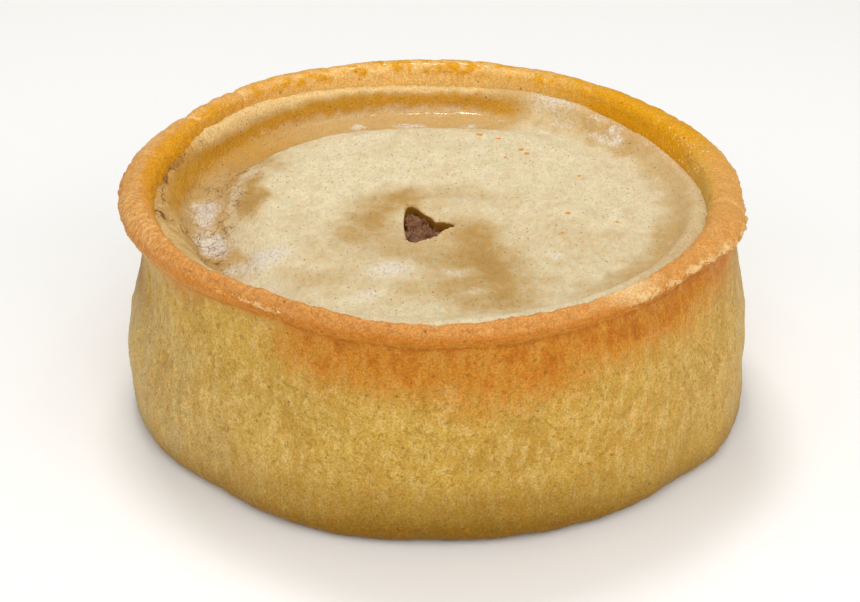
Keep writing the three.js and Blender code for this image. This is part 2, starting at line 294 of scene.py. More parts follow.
def bakedCrust():
    # Hot-water crust, raised by hand and baked: fatty and dense, so it is golden and finely grained,
    # toasted orange below the lip, with a film of fat that shines on the inside of the rim.
    look = {"gold": "#c29b43", "paleGold": "#d6b870", "deepGold": "#a37825", "olive": "#855f0f",
            "toast": "#c17209", "darkToast": "#93500e", "rim": "#ce8b45", "rimLine": "#e8bf80",
            "deepRim": "#ac6824", "paleYellowAndPaintedLight": "#e9bb6e", "wetGold": "#d79709", "flour": "#e6c286",
            "grey": "#bca46c", "pore": "#6e4712"}
    material, tree, shader, inMm = startMaterial("bakedHotWaterCrust", **{
        "Roughness": 0.5, "IOR": 1.42, "Specular IOR Level": 0.2, "Subsurface Weight": 0.06,
        "Subsurface Scale": 1.0 * mm, "Coat Roughness": 0.14, "Coat IOR": 1.46})
    toast, gold, pale, rim = painted(tree, "bake")
    foot, paleYellowAndPaintedLight, grey, shine = painted(tree, "tone")
    broad = mottle(tree, inMm, 8)
    middle = mottle(tree, inMm, 1.5, 4, (1, 1, 0.8))
    small = mottle(tree, inMm, 0.7, 2, (1, 1, 0.85))
    grain = mottle(tree, inMm, 0.28, 2)
    streaks = mottle(tree, inMm, 1.2, 3, (1, 1, 0.25))
    lines = acrossRim(tree, inMm)
    spotty = addNode(tree, "Math", {0: middle, 1: small}, operation="ADD").outputs[0]
    uneven = addNode(tree, "Math", {0: spotty, 1: 0.75, 2: toast}, operation="MULTIPLY_ADD").outputs[0]
    uneven = addNode(tree, "Math", {0: streaks, 1: -0.4, 2: uneven}, operation="MULTIPLY_ADD").outputs[0]
    # painted shade: olive towards the foot and on the far left, where the foot channel is high
    wearAndFootShade = addNode(tree, "Math", {0: spotty, 1: 0.6, 2: foot}, operation="MULTIPLY_ADD").outputs[0]
    wet = addNode(tree, "Math", {0: spotty, 1: 0.5, 2: gold}, operation="MULTIPLY_ADD").outputs[0]
    here = addNode(tree, "MapRange", {0: broad, 1: 0.4, 2: 0.56, 3: 0.72, 4: 1.0}).outputs[0]
    rimLine = addNode(tree, "Math", {0: lines, 1: here}, operation="MULTIPLY").outputs[0]
    rimLine = addNode(tree, "Math", {0: rimLine, 1: rim}, operation="MULTIPLY").outputs[0]
    rimDepth = addNode(tree, "MapRange", {0: rim, 1: 0.45, 2: 1.0, 3: 0, 4: 0.75}).outputs[0]
    # painted light: the paler yellow on the back of the rim stands in for the light its inner face catches
    colour = tinted(tree, plainColour(tree, look["gold"]), look, (
        (grey, 0, 1, 0.85, "grey"), (broad, 0.42, 0.66, 0.5, "deepGold"),
        (middle, 0.5, 0.66, 0.75, "paleGold"), (small, 0.46, 0.34, 0.75, "deepGold"),
        (streaks, 0.52, 0.66, 0.3, "paleGold"), (streaks, 0.46, 0.34, 0.2, "deepGold"),
        (wearAndFootShade, 0.7, 1.4, 1.0, "olive"), (rim, 0.0, 0.6, 0.9, "rim"), (small, 0.54, 0.38, rimDepth, "deepRim"),
        (middle, 0.55, 0.85, rimDepth, "rimLine"), (paleYellowAndPaintedLight, 0, 1, 1, "paleYellowAndPaintedLight"),
        (rimLine, 0.42, 0.56, 0.5, "rimLine"), (uneven, 0.6, 1.45, 0.95, "toast"),
        (uneven, 1.25, 1.75, 0.85, "darkToast"), (wet, 0.55, 1.3, 1.0, "wetGold"),
        (pale, 0.15, 0.8, 0.8, "flour"), (specks(tree, inMm, 1.9, 0.12, 0.4), 0, 1, 0.5, "pore")))
    shade = addNode(tree, "MapRange", {0: grain, 1: 0.3, 2: 0.7, 3: 0.72, 4: 1.24}).outputs[0]
    colour = addNode(tree, "VectorMath", {0: colour, "Scale": shade}, operation="SCALE").outputs[0]
    tree.links.new(colour, shader.inputs["Base Color"])
    tree.links.new(shine, shader.inputs["Coat Weight"])
    stackedBump(tree, shader, ((grain, 0.5, 0.08), (small, 0.5, 0.16), (middle, 0.5, 0.25),
                               (rimLine, 0.4, 0.2)))
    return material


def paleCrust():
    # The lid, steamed from below: matt, floury and cream where dry, tan where moist, and glazed
    # gold with fat in the groove, with fine brown specks of bran and pepper.
    look = {"cream": "#ecdcb5", "deepCream": "#d5c391", "tan": "#d6b072", "crest": "#edc987",
            "moist": "#bf9858", "wet": "#99702f", "gold": "#cb9126", "flour": "#e2d4c0", "crack": "#7c4618",
            "speck": "#86561f", "pepper": "#5a3518", "paintedHoleShade": "#956210"}
    material, tree, shader, inMm = startMaterial("paleSteamedCrust", **{
        "Roughness": 0.6, "IOR": 1.42, "Specular IOR Level": 0.25, "Subsurface Weight": 0.1,
        "Subsurface Scale": 1.2 * mm, "Coat Roughness": 0.1, "Coat IOR": 1.46})
    moist, gold, flour, crack = painted(tree, "bake")
    # hole marks painted shade low on the wall of the steam hole
    tan, hole, crest, shine = painted(tree, "tone")
    middle = mottle(tree, inMm, 2.4, 4, (1, 0.7, 1))
    small = mottle(tree, inMm, 0.8, 4, (1, 0.6, 1))
    grain = mottle(tree, inMm, 0.28, 2, (1, 0.6, 1))
    sandy = mottle(tree, inMm, 0.4, 3, (1, 0.6, 1), 0.75)
    # jagged cracks, where the painted zone lets them through
    shaken = addNode(tree, "TexNoise", {"Vector": inMm, "Scale": 1 / 1.2, "Detail": 3}).outputs["Color"]
    shaken = addNode(tree, "VectorMath", {0: shaken, "Scale": 1.6}, operation="SCALE").outputs[0]
    shaken = addNode(tree, "VectorMath", {0: shaken, 1: inMm}, operation="ADD").outputs[0]
    cells = addNode(tree, "TexVoronoi", {"Vector": shaken, "Scale": 1 / 2.6}, feature="DISTANCE_TO_EDGE")
    line = addNode(tree, "MapRange", {0: cells.outputs["Distance"], 1: 0.0, 2: 0.05, 3: 1, 4: 0}).outputs[0]
    line = addNode(tree, "Math", {0: line, 1: crack}, operation="MULTIPLY").outputs[0]
    broken = addNode(tree, "Math", {0: middle, 1: 0.5, 2: small}, operation="MULTIPLY_ADD").outputs[0]
    sand = addNode(tree, "MapRange", {0: sandy, 1: 0.25, 2: 0.75, 3: -0.6, 4: 0.6}).outputs[0]
    broken = addNode(tree, "Math", {0: broken, 1: sand}, operation="ADD").outputs[0]
    damp = addNode(tree, "Math", {0: broken, 1: 0.45, 2: moist}, operation="MULTIPLY_ADD").outputs[0]
    glaze = addNode(tree, "Math", {0: broken, 1: 0.45, 2: gold}, operation="MULTIPLY_ADD").outputs[0]
    dusty = addNode(tree, "Math", {0: broken, 1: 0.45, 2: flour}, operation="MULTIPLY_ADD").outputs[0]
    # painted light: the crest tint also lightens a corner and a strip that lie in shade by the rim
    colour = tinted(tree, plainColour(tree, look["cream"]), look, (
        (middle, 0.45, 0.7, 0.35, "deepCream"), (small, 0.5, 0.7, 0.5, "flour"),
        (sandy, 0.5, 0.32, 0.6, "deepCream"), (tan, 0.1, 0.9, 1.0, "tan"), (damp, 0.36, 1.04, 1.0, "moist"),
        (damp, 1.04, 1.5, 0.8, "wet"), (glaze, 0.38, 1.18, 1.0, "gold"), (crest, 0.1, 0.9, 0.9, "crest"),
        (dusty, 0.6, 1.08, 0.95, "flour"), (line, 0.1, 0.6, 0.85, "crack"), (crack, 0.75, 1.0, 0.85, "crack"),
        (hole, 0.2, 0.8, 1.0, "paintedHoleShade"), (specks(tree, inMm, 1.1, 0.12, 0.55), 0, 1, 0.7, "speck"),
        (specks(tree, inMm, 0.7, 0.15, 0.4), 0, 1, 0.5, "speck"),
        (specks(tree, inMm, 2.3, 0.06, 0.6), 0, 1, 0.85, "pepper")))
    shade = addNode(tree, "MapRange", {0: sandy, 1: 0.3, 2: 0.7, 3: 0.79, 4: 1.18}).outputs[0]
    colour = addNode(tree, "VectorMath", {0: colour, "Scale": shade}, operation="SCALE").outputs[0]
    tree.links.new(colour, shader.inputs["Base Color"])
    tree.links.new(shine, shader.inputs["Coat Weight"])
    stackedBump(tree, shader, ((grain, 0.6, 0.1), (sandy, 1.0, 0.32), (small, 0.5, 0.22), (line, -0.5, 0.2)))
    return material


def cookedMince():
    # Cooked minced pork: coarse brown crumbs with greyish fat between them, moist enough to glint.
    look = {"brown": "#6a3d1b", "light": "#8a5a30", "grey": "#80624a", "dark": "#361b0a"}
    material, tree, shader, inMm = startMaterial("cookedMincedPork", **{
        "Roughness": 0.38, "IOR": 1.42, "Subsurface Weight": 0.12, "Subsurface Scale": 1.0 * mm})
    lumps = mottle(tree, inMm, 1.3, 4)
    fine = mottle(tree, inMm, 0.45, 3)
    colour = tinted(tree, plainColour(tree, look["brown"]), look, (
        (lumps, 0.4, 0.65, 1.0, "light"), (fine, 0.52, 0.68, 0.8, "grey"), (fine, 0.42, 0.3, 0.85, "dark")))
    tree.links.new(colour, shader.inputs["Base Color"])
    stackedBump(tree, shader, ((fine, 0.8, 0.25),))
    return material


def dryCrumbs():
    # Dry crumbs and flakes of the same crust: pale, matt and a little uneven in tone.
    look = {"pale": "#ecc98d", "darker": "#d19a50"}
    material, tree, shader, inMm = startMaterial("dryCrustCrumbs", **{
        "Roughness": 0.7, "IOR": 1.42, "Subsurface Weight": 0.1, "Subsurface Scale": 0.6 * mm})
    uneven = mottle(tree, inMm, 1.5)
    colour = tinted(tree, plainColour(tree, look["pale"]), look, ((uneven, 0.35, 0.65, 1.0, "darker"),))
    tree.links.new(colour, shader.inputs["Base Color"])
    return material


def orangeFat():
    # Drops of orange fat that came up through the lid: thin, clear and shiny.
    material, tree, shader, inMm = startMaterial("orangeFatDrops", **{
        "Base Color": linear("#dc8f14"), "Roughness": 0.3, "IOR": 1.47, "Specular IOR Level": 0.3})
    stackedBump(tree, shader, ((mottle(tree, inMm, 0.4), 0.3, 0.1),))
    return material


# camera, floor and light

camera = {"lens": 83.55, "elevation": 28.85, "distance": 0.300, "aim": (-0.00077, 0, 0.0135)}
lights = [
    {"name": "keySoftbox", "place": (-0.05, 0.21, 0.58), "size": 0.16, "power": 1.35},
    {"name": "topSoftbox", "place": (0.03, -0.10, 0.62), "size": 0.60, "power": 1.3},
    {"name": "frontFill", "place": (0.05, -0.56, 0.34), "size": 0.60, "power": 2.0},
    {"name": "rightFill", "place": (0.60, -0.25, 0.26), "size": 0.50, "power": 1.32},
    {"name": "leftFill", "place": (-0.60, -0.20, 0.26), "size": 0.50, "power": 1.05},
]


def setUpView():
    lift = math.radians(camera["elevation"])
    place = Vector(camera["aim"]) + Vector((0, -math.cos(lift), math.sin(lift))) * camera["distance"]
    bpy.ops.object.camera_add(location=place, rotation=(math.radians(90) - lift, 0, 0))
    eye = bpy.context.object
    eye.name = "camera"
    eye.data.lens = camera["lens"]
    eye.data.sensor_width = 36
    eye.data.sensor_fit = "HORIZONTAL"
    eye.data.clip_start = 0.01
    bpy.context.scene.camera = eye
    bpy.ops.mesh.primitive_plane_add(size=4)
    floor = bpy.context.object
    floor.name = "floor"
    floorLook = {"Base Color": linear("#f2f1ee"), "Roughness": 0.8}
    floor.data.materials.append(startMaterial("paleFloor", **floorLook)[0])
    for light in lights:
        aim = Vector((0, 0, 0.02)) - Vector(light["place"])
        bpy.ops.object.light_add(type="AREA", location=light["place"],
                                 rotation=aim.to_track_quat("-Z", "Y").to_euler())
        lamp = bpy.context.object
        lamp.name = light["name"]
        lamp.data.size = light["size"]
        lamp.data.energy = light["power"]
    world = bpy.data.worlds.new("studio")
    bpy.context.scene.world = world
    world.use_nodes = True
    backdrop = world.node_tree.nodes["Background"]
    backdrop.inputs["Color"].default_value = linear("#ffffff")
    backdrop.inputs["Strength"].default_value = 0.25
    bpy.context.scene.view_settings.view_transform = "Standard"


# the pastry cup

cup = {
    "relief": ((8.0, 0.5), (2.6, 0.3), (1.0, 0.14)),  # size and height of each kind of lump
    "triangles": 180000,
    "insideCut": {"radius": 41.5, "low": 3, "high": 24},
    "insideSteps": ((12, 1.03), (6, 0.98), (2, 0.94)),  # how far down and how much wider
    "lipFoot": 30.8,  # the lip starts at this height
    "lipRadius": 42.5,  # and sticks out from this radius
    "ledge": 33.3,  # height of the crumbly ledge on it
    # across the rim: direction, width, depth
    "creases": ((150.5, 0.5, 0.45), (135.5, 0.45, 0.4), (143, 0.4, 0.12), (112, 0.6, 0.15), (171, 0.4, 0.2),
                (-174, 0.5, 0.2), (-152, 0.5, 0.2), (-101, 0.6, 0.15), (-62, 0.6, 0.15),
                (-13, 0.5, 0.2), (28, 0.5, 0.2), (51, 0.6, 0.25), (80, 0.6, 0.15)),
    "pits": {"count": 90, "levels": (2, 28), "sizes": (0.3, 0.7), "depth": 0.6},
    "wrinkle": {"side": -162, "level": 22, "lean": 0.25, "width": 0.8, "depth": 0.35},
    # where flour and crumbs stick to the lip: a short run at the front left, a long one at the right
    "flashLeft": -123,
    "flashRight": -33,
    # a pale worn place on top of the rim at the front right: x, y, size, stretch, turn
    "wornPlace": (24.8, -35.0, 2.6, 1.8, 35),
    "darkSpot": (24.2, 31.9, 1.3),
    # lower edge of the toasted band round the wall, by direction
    "toastDownTo": ((-180, 30), (-150, 28.5), (-140, 26.6), (-122, 24.8), (-112, 24.0), (-101, 23.7),
                    (-93, 23.5), (-85, 22.8), (-78, 21.6), (-71, 21.6), (-66, 24.2), (-60, 26), (-52, 25.6),
                    (-40, 25.2), (-28, 25.6), (-15, 27.5), (10, 27.5), (60, 26), (100, 27), (140, 25.5),
                    (160, 28)),
}


def makeCup():
    piece = copyNode("case", "pastryCup")
    # the hidden inside below the lid goes, and comes back later with long faces
    cut = cup["insideCut"]
    bpy.context.tool_settings.mesh_select_mode = (False, False, True)
    points = placesOf(piece)
    for face in piece.data.polygons:
        middle = points[list(face.vertices)].mean(axis=0)
        inside = np.hypot(middle[0], middle[1]) < cut["radius"]
        face.select = bool(inside and cut["low"] < middle[2] < cut["high"])
    bpy.ops.object.mode_set(mode="EDIT")
    bpy.ops.mesh.delete(type="FACE")
    bpy.ops.object.mode_set(mode="OBJECT")
    applyModifier(piece, "SUBSURF", levels=3, render_levels=3)
    sculptCup(piece)
    addRelief(piece, cup["relief"])
    points = placesOf(piece)
    points[:, 2] = np.maximum(points[:, 2], 0)
    movePlaces(piece, points)
    # the inside of the cup, drawn down from the open edge to its floor
    bpy.ops.object.mode_set(mode="EDIT")
    bpy.ops.mesh.select_mode(type="EDGE")
    bpy.ops.mesh.select_all(action="DESELECT")
    bpy.ops.mesh.select_non_manifold()
    bpy.ops.transform.resize(value=(1, 1, 0), center_override=(0, 0, cut["high"] * mm))
    for down, grow in cup["insideSteps"]:
        bpy.ops.mesh.extrude_region_move(TRANSFORM_OT_translate={"value": (0, 0, -down * mm)})
        bpy.ops.transform.resize(value=(grow, grow, 1), center_override=(0, 0, 0))
    bpy.ops.mesh.edge_face_add()
    bpy.ops.mesh.select_all(action="SELECT")
    bpy.ops.mesh.normals_make_consistent(inside=False)
    bpy.ops.object.mode_set(mode="OBJECT")
    thinTo(piece, cup["triangles"])
    paintCup(piece)
    return piece


def flashAround(side):
    atRight = ramp(np.abs(turnFrom(side, cup["flashRight"])), 27, 17)
    return np.clip(around(side, cup["flashLeft"], 8) + atRight, 0, 1)


def alongCrease(radius, sides, side):
    # creases run across the rim and waver a little
    return alongRim(radius, sides, side) + 0.5 * np.sin(radius * 1.3 + side)


def sculptCup(piece):
    points, normals = placesOf(piece), normalsOf(piece)
    radius, side = roundAbout(points)
    height = points[:, 2]
    flash = flashAround(side)
    lipFoot, lipRadius, pits, wrinkle = cup["lipFoot"], cup["lipRadius"], cup["pits"], cup["wrinkle"]
    onRim = ramp(height, lipFoot, 33)
    onLip = ramp(radius, lipRadius, lipRadius + 1)
    onWall = ramp(radius, 40.8, 41.8) * ramp(height, 32, 29.5) * ramp(height, 0.2, 1.5)
    rise = np.zeros(len(points))
    for where, width, depth in cup["creases"]:
        rise -= depth * np.exp(-(alongCrease(radius, side, where) / width) ** 2) * onRim
    # the lip's ragged outer edge, with a crumbly ledge where the flour stuck
    lip = ramp(height, lipFoot, lipFoot + 1) * ramp(height, 34.2, 33.2) * onLip
    rise += lip * (0.15 + 0.25 * flash) * cloudy(points, 0.9, 4, 4.0)
    rise += 0.3 * flash * np.exp(-((height - cup["ledge"]) / 0.45) ** 2) * onLip
    # the rim is rough where the pastry cracked as it baked, and smoother at the back
    rough = onRim * (1 - 0.85 * around(side, 70, 75))
    rise += 0.16 * rough * cloudy(points * (1, 1, 0.8), 0.9, 3, 13.0)
    rise += 0.14 * rough * cloudy(points, 2.2, 3, 19.0)
    rng = np.random.default_rng(11)
    for _ in range(pits["count"]):
        where, level, size = rng.uniform(-180, 180), rng.uniform(*pits["levels"]), rng.uniform(*pits["sizes"])
        away = (alongRim(radius, side, where) / size) ** 2 + ((height - level) / size) ** 2
        rise -= pits["depth"] * size * np.exp(-away) * onWall
    # upright wrinkle on the left, below the lip
    along = alongRim(radius, side, wrinkle["side"]) + wrinkle["lean"] * (height - wrinkle["level"])
    rise -= wrinkle["depth"] * np.exp(-(along / wrinkle["width"]) ** 2) * ramp(height, 13, 18) * onWall
    movePlaces(piece, points + normals * rise[:, None])


def paintCup(piece):
    # directions in degrees, -90 in front, 0 at the right and 90 at the back; heights and radii in mm
    points = placesOf(piece)
    radius, side = roundAbout(points)
    height = points[:, 2]
    outside = ramp(radius, 41.6, 42.6)
    inner = ramp(radius, 42.6, 41.0) * ramp(height, 28, 30)
    # toasted below the lip, down to an uneven edge, and on the lip itself
    tongues = 1.8 * cloudy(points * (1, 1, 0.5), 4.0, 4, 1.0)
    edge = byDirection(side, cup["toastDownTo"])
    front = ramp(np.abs(turnFrom(side, -78)), 85, 40)
    below = ramp(height, cup["lipFoot"] + 1, cup["lipFoot"]) * outside
    toast = ramp(height + tongues, edge - 4.5, edge + 5) * below * (0.4 + 0.32 * front)
    toast += 0.1 * around(side, -45, 30) * below * ramp(height, 4, 14)
    blotches = np.clip(cloudy(points * (1, 1, 0.5), 1.8, 4, 21.0), -0.5, 0.7)
    toast += 0.24 * blotches * ramp(height + tongues, edge - 3, edge + 3) * below * front
    lipFace = ramp(height, 30.6, 31.6) * ramp(height, 34.0, 33.0) * outside
    toast += 0.68 * lipFace * (0.35 + 0.65 * front)
    toast += 0.5 * spot(points, *cup["darkSpot"]) * (height > 33)
    toast += (0.25 * around(side, 170, 35) + 0.5 * around(side, 174, 24)) * inner
    # painted shade: more toast colour on the far left wall, under the lip
    toast += 0.28 * ramp(height, 14, 23) * around(side, -176, 15) * below
    # wet gold inside the rim, most at the right and back
    gold = inner * (0.1 + 0.45 * around(side, 165, 30))
    gold += around(side, 33, 23) * ramp(radius, 45.4, 43.2) * ramp(height, 28, 30)
    wetPatches = ramp(cloudy(points, 1.6, 3, 41.0), -0.1, 0.3)
    gold += 0.85 * wetPatches * around(side, 95, 45) * ramp(height, 32.8, 34.0)
    # paler yellow at the back, less at the sides: partly the crust's colour, partly painted light; and a
    # shine of fat on the inside
    paleYellowAndPaintedLight = ramp(height, 30.5, 32.0) * around(side, 95, 48) * (1 - 0.35 * ramp(height, 34.2, 35))
    paleYellowAndPaintedLight += 0.3 * ramp(height, 32, 34) * around(side, 20, 45)
    paleYellowAndPaintedLight += 0.3 * ramp(height, 33, 34.5) * around(side, 165, 40)
    shine = ramp(radius, 43.6, 42.6) * ramp(height, 31, 33)
    shine *= around(side, 93, 20) + 0.3 * around(side, 30, 28)
    shine *= ramp(cloudy(points, 1.0, 2, 31.0), -0.05, 0.2)
    # orange on top of the rim, most at the left
    rimTop = ramp(height, 31.5, 33.2) * ramp(radius, 40.2, 41.2)
    byLeft, byBack, byRight = around(side, 165, 45), around(side, 60, 60), around(side, -40, 45)
    rim = rimTop * (0.76 + 0.24 * byLeft - 0.5 * byBack - 0.16 * byRight)
    # pale creases, flour on the ledge and worn places
    pale = np.zeros(len(points))
    for where, width, depth in cup["creases"]:
        pale += 1.3 * depth * np.exp(-(alongCrease(radius, side, where) / (1.2 * width)) ** 2)
    pale *= ramp(height, 33, 34.3)
    flash = flashAround(side) * np.exp(-((height - cup["ledge"]) / 0.6) ** 2) * ramp(radius, 42.8, 43.4)
    pale += 0.9 * flash * ramp(cloudy(points, 1.0, 4, 7.0), -0.3, 0.2)
    wearAndFootShade = 0.2 * around(side, -30, 22) * ramp(cloudy(points, 2.0, 4, 15.0), -0.25, 0.15)
    pale += (wearAndFootShade + 0.75 * spot(points, *cup["wornPlace"])) * ramp(height, 33.0, 34.2)
    # browner towards the foot, most in front, with painted shade low down; painted shade under the lip at the
    # far left
    foot = (ramp(height, 13, 5) * (0.1 + 0.42 * around(side, -86, 42)) + 0.4 * ramp(height, 6, 1)) * outside
    foot += 0.6 * ramp(height, 14, 22) * around(side, -176, 16) * outside * ramp(height, 32, 30)
    # greyer down the sides
    grey = 0.8 * around(side, -165, 30) + 0.5 * around(side, -140, 20) + 0.4 * around(side, -22, 22)
    grey *= ramp(height, 27, 17) * outside * (0.6 + 0.6 * cloudy(points * (1, 1, 0.3), 4.0, 3, 9.0))
    paint(piece, "bake", (toast, gold, pale, rim))
    paint(piece, "tone", (foot, paleYellowAndPaintedLight, grey, shine))


# the lid

lid = {
    "voxel": 0.42,
    "relief": ((6.0, 0.3), (2.0, 0.2), (0.9, 0.1)),
    "triangles": 130000,
    "hole": ((-3.4, 0.2), (-4.1, -0.4), (-4.4, -2.2), (-4.5, -5.3), (-4.3, -8.2), (-3.9, -11.2),
             (-2.9, -11.8), (-1.8, -11.0), (-0.3, -10.4), (0.6, -9.5), (1.6, -8.1), (2.9, -6.1), (2.1, -5.7),
             (0.9, -5.1), (0.0, -5.3), (-0.5, -3.9), (-1.9, -2.2), (-2.8, -0.6), (-3.4, 0.2)),
    # torn lines at the left: points, width, depth
    "cracks": ((((-39.6, -8.5), (-36.3, -9.0), (-34.0, -5.9)), 0.2, 0.35),
               (((-35.8, -7.9), (-32.0, -8.6), (-30.6, -10.8)), 0.22, 0.4),
               (((-31.1, -13.5), (-29.6, -20.0), (-27.7, -29.1)), 0.2, 0.35),
               (((-34.0, -5.9), (-31.5, -4.6), (-29.8, -5.6)), 0.18, 0.3),
               (((-33.0, 9.5), (-29.5, 6.0), (-28.5, 2.0), (-30.0, -1.5)), 0.18, 0.25),
               (((-30.0, 14.0), (-27.0, 11.0), (-26.6, 7.5)), 0.18, 0.25),
               (((-33.5, -14.5), (-31.5, -18.0), (-31.0, -21.5)), 0.18, 0.3)),
    "crestHeight": ((60, 32.2), (90, 31.6), (110, 32.1), (130, 32.8), (150, 32.8), (180, 32.5), (-165, 32.8)),
    "crease": ((37.6, -9.5), (35.2, -16.4), (31.9, -21.3), (28.5, -27.7), (24.6, -32.9)),
    "fold": ((-8.5, -34.0), (-5.4, -29.1), (-3.5, -25.6), (-2.1, -21.0)),
    # x, y, size, rise
    "bubbles": ((27.4, 23.3, 1.1, 0.7), (25.6, 19.6, 1.3, 0.4), (22.2, 27.6, 1.2, 0.45),
                (20.0, 30.5, 1.0, 0.4), (17.6, 29.6, 1.4, 0.4), (29.9, 15.9, 1.5, 0.4),
                (32.9, 15.8, 0.8, 0.3), (30.5, 20.5, 0.9, 0.35), (14.0, 31.5, 1.2, 0.3),
                (33.8, 8.0, 1.2, 0.25)),
    "dents": {"count": 80, "reach": 37, "sizes": (0.25, 0.6), "depth": 0.35},
    # x, y, size, stretch, turn, strength
    "moist": ((-9.5, -4.5, 3.6, 1.5, 70, 0.62), (-5.2, 1.5, 3.0, 1.3, 0, 0.5), (0.5, 2.5, 3.0, 1.5, 0, 0.3),
              (3.5, -9.5, 4.0, 1.3, -40, 0.3), (5.5, -8.0, 2.4, 1.4, -20, 0.4),
              (7.0, -15.5, 4.2, 1.5, -50, 0.4), (0, -17, 4.5, 1.3, 0, 0.3), (5.0, -22, 7.0, 1.3, -70, 0.16),
              (8.5, -21.5, 3.6, 1.5, -70, 0.35), (2.5, -27, 5.0, 1.6, 0, 0.4),
              (-6.0, -15.5, 3.2, 1.6, 40, 0.3), (9, -31, 3.4, 1.6, 10, 0.35), (-11, -12, 4.5, 1.6, 40, 0.3),
              (-15, -24, 3.4, 2.4, 20, 0.25), (-27.0, 3.8, 2.4, 2.2, 96, 0.75),
              (-25.5, 14, 2.6, 2.0, 130, 0.4), (-27.5, -2, 2.2, 1.6, 90, 0.62),
              (-33, -16, 3.2, 2.2, 110, 0.4), (7, 1, 3.5, 2.0, 0, 0.22), (18, -12, 6, 2.0, -40, 0.12)),
    "flour": ((-6.2, -22.2, 2.7, 1.5, 20, 0.75), (-23.6, -17.6, 3.2, 1.4, 20, 0.8),
              (-33.8, 1.6, 2.1, 1.9, 100, 0.95), (-31.8, -8.2, 2.2, 2.0, 120, 1.0),
              (3.9, 0.3, 1.7, 1.9, 0, 0.4), (-12.3, 32.5, 0.9, 1.6, 10, 0.9), (5.7, 31.9, 0.9, 1.8, -10, 0.8),
              (-4.0, 32.6, 0.9, 3.6, 0, 0.75), (10.5, 33.0, 0.8, 2.0, -15, 0.5),
              (16.7, -16.9, 0.7, 2.0, -50, 0.8), (-29, -17, 2.0, 1.5, 60, 0.4),
              (-9.8, -29.5, 1.5, 2.4, 35, 0.6), (-22, -26, 2.0, 2.4, -40, 0.4),
              (2.6, -22.3, 1.7, 1.4, 20, 0.45), (5.3, -27.6, 1.7, 1.5, 20, 0.4),
              (27, 22, 1.4, 2.6, -50, 0.5), (20, 29, 1.2, 2.4, -30, 0.45), (19, 34, 2.2, 1.8, -30, 0.5)),
}


def makeLid():
    piece = copyNode("lid", "pastryLid")
    applyModifier(piece, "REMESH", mode="VOXEL", voxel_size=lid["voxel"] * mm)
    # smooths the facets, but not the torn edge of the hole
    points = placesOf(piece)
    keep = 1 - np.exp(-(offLine(points, lid["hole"]) / 1.0) ** 2)
    group = piece.vertex_groups.new(name="soft")
    for level in range(1, 11):
        members = np.flatnonzero((keep > (level - 1) / 10) & (keep <= level / 10))
        group.add(members.tolist(), level / 10, "REPLACE")
    applyModifier(piece, "SMOOTH", factor=0.5, iterations=16, vertex_group="soft")
    sculptLid(piece)
    addRelief(piece, lid["relief"])
    thinTo(piece, lid["triangles"])
    paintLid(piece)
    return piece


def sculptLid(piece):
    points, normals = placesOf(piece), normalsOf(piece)
    radius, side = roundAbout(points)
    # the lid's edge is baked into the cup all round
    bins = np.round(side / 3).astype(int) % 120
    reach = np.zeros(120)
    np.maximum.at(reach, bins, radius)
    edge = reach[bins]
    left = around(side, 178, 32)
    grow = (1.0 + 0.5 * left) * ramp(radius, edge - 2.5 - 2.5 * left, edge - 0.4)
    ragged = wandered(points, 1.4, 0.9)
    onTop = ramp(normals[:, 2], 0.1, 0.5)
    rise = np.zeros(len(points))
    for line, width, depth in lid["cracks"]:
        away = offLine(ragged, line)
        rise += 0.3 * depth * np.exp(-(away / 1.2) ** 2) - depth * np.exp(-(away / width) ** 2)
    rise -= 0.4 * np.exp(-(offLine(ragged, lid["crease"]) / 0.5) ** 2)
    rise += 0.3 * np.exp(-(offLine(ragged, lid["fold"]) / 0.9) ** 2)
    for x, y, size, height in lid["bubbles"]:
        away = np.hypot(points[:, 0] - x, points[:, 1] - y) / size
        rise += height * np.clip(1 - away ** 2, 0, 1) ** 0.6
    rng = np.random.default_rng(5)
    dents = lid["dents"]
    for _ in range(dents["count"]):
        angle, far = rng.uniform(0, 2 * math.pi), dents["reach"] * math.sqrt(rng.uniform())
        x, y, size = rimCentreX + far * math.cos(angle), far * math.sin(angle), rng.uniform(*dents["sizes"])
        rise -= dents["depth"] * size * spot(points, x, y, size)
    # the sunken hollow at the left is lumpy and torn
    hollow = around(side, 178, 30) * ramp(radius, 28, 31)
    rise += hollow * (0.5 * cloudy(points, 2.2, 4, 23.0) + 0.25 * cloudy(points, 0.8, 3, 29.0))
    points[:, 0] += grow * np.cos(np.radians(side))
    points[:, 1] += grow * np.sin(np.radians(side))
    points[:, 2] += rise * onTop
    movePlaces(piece, points)


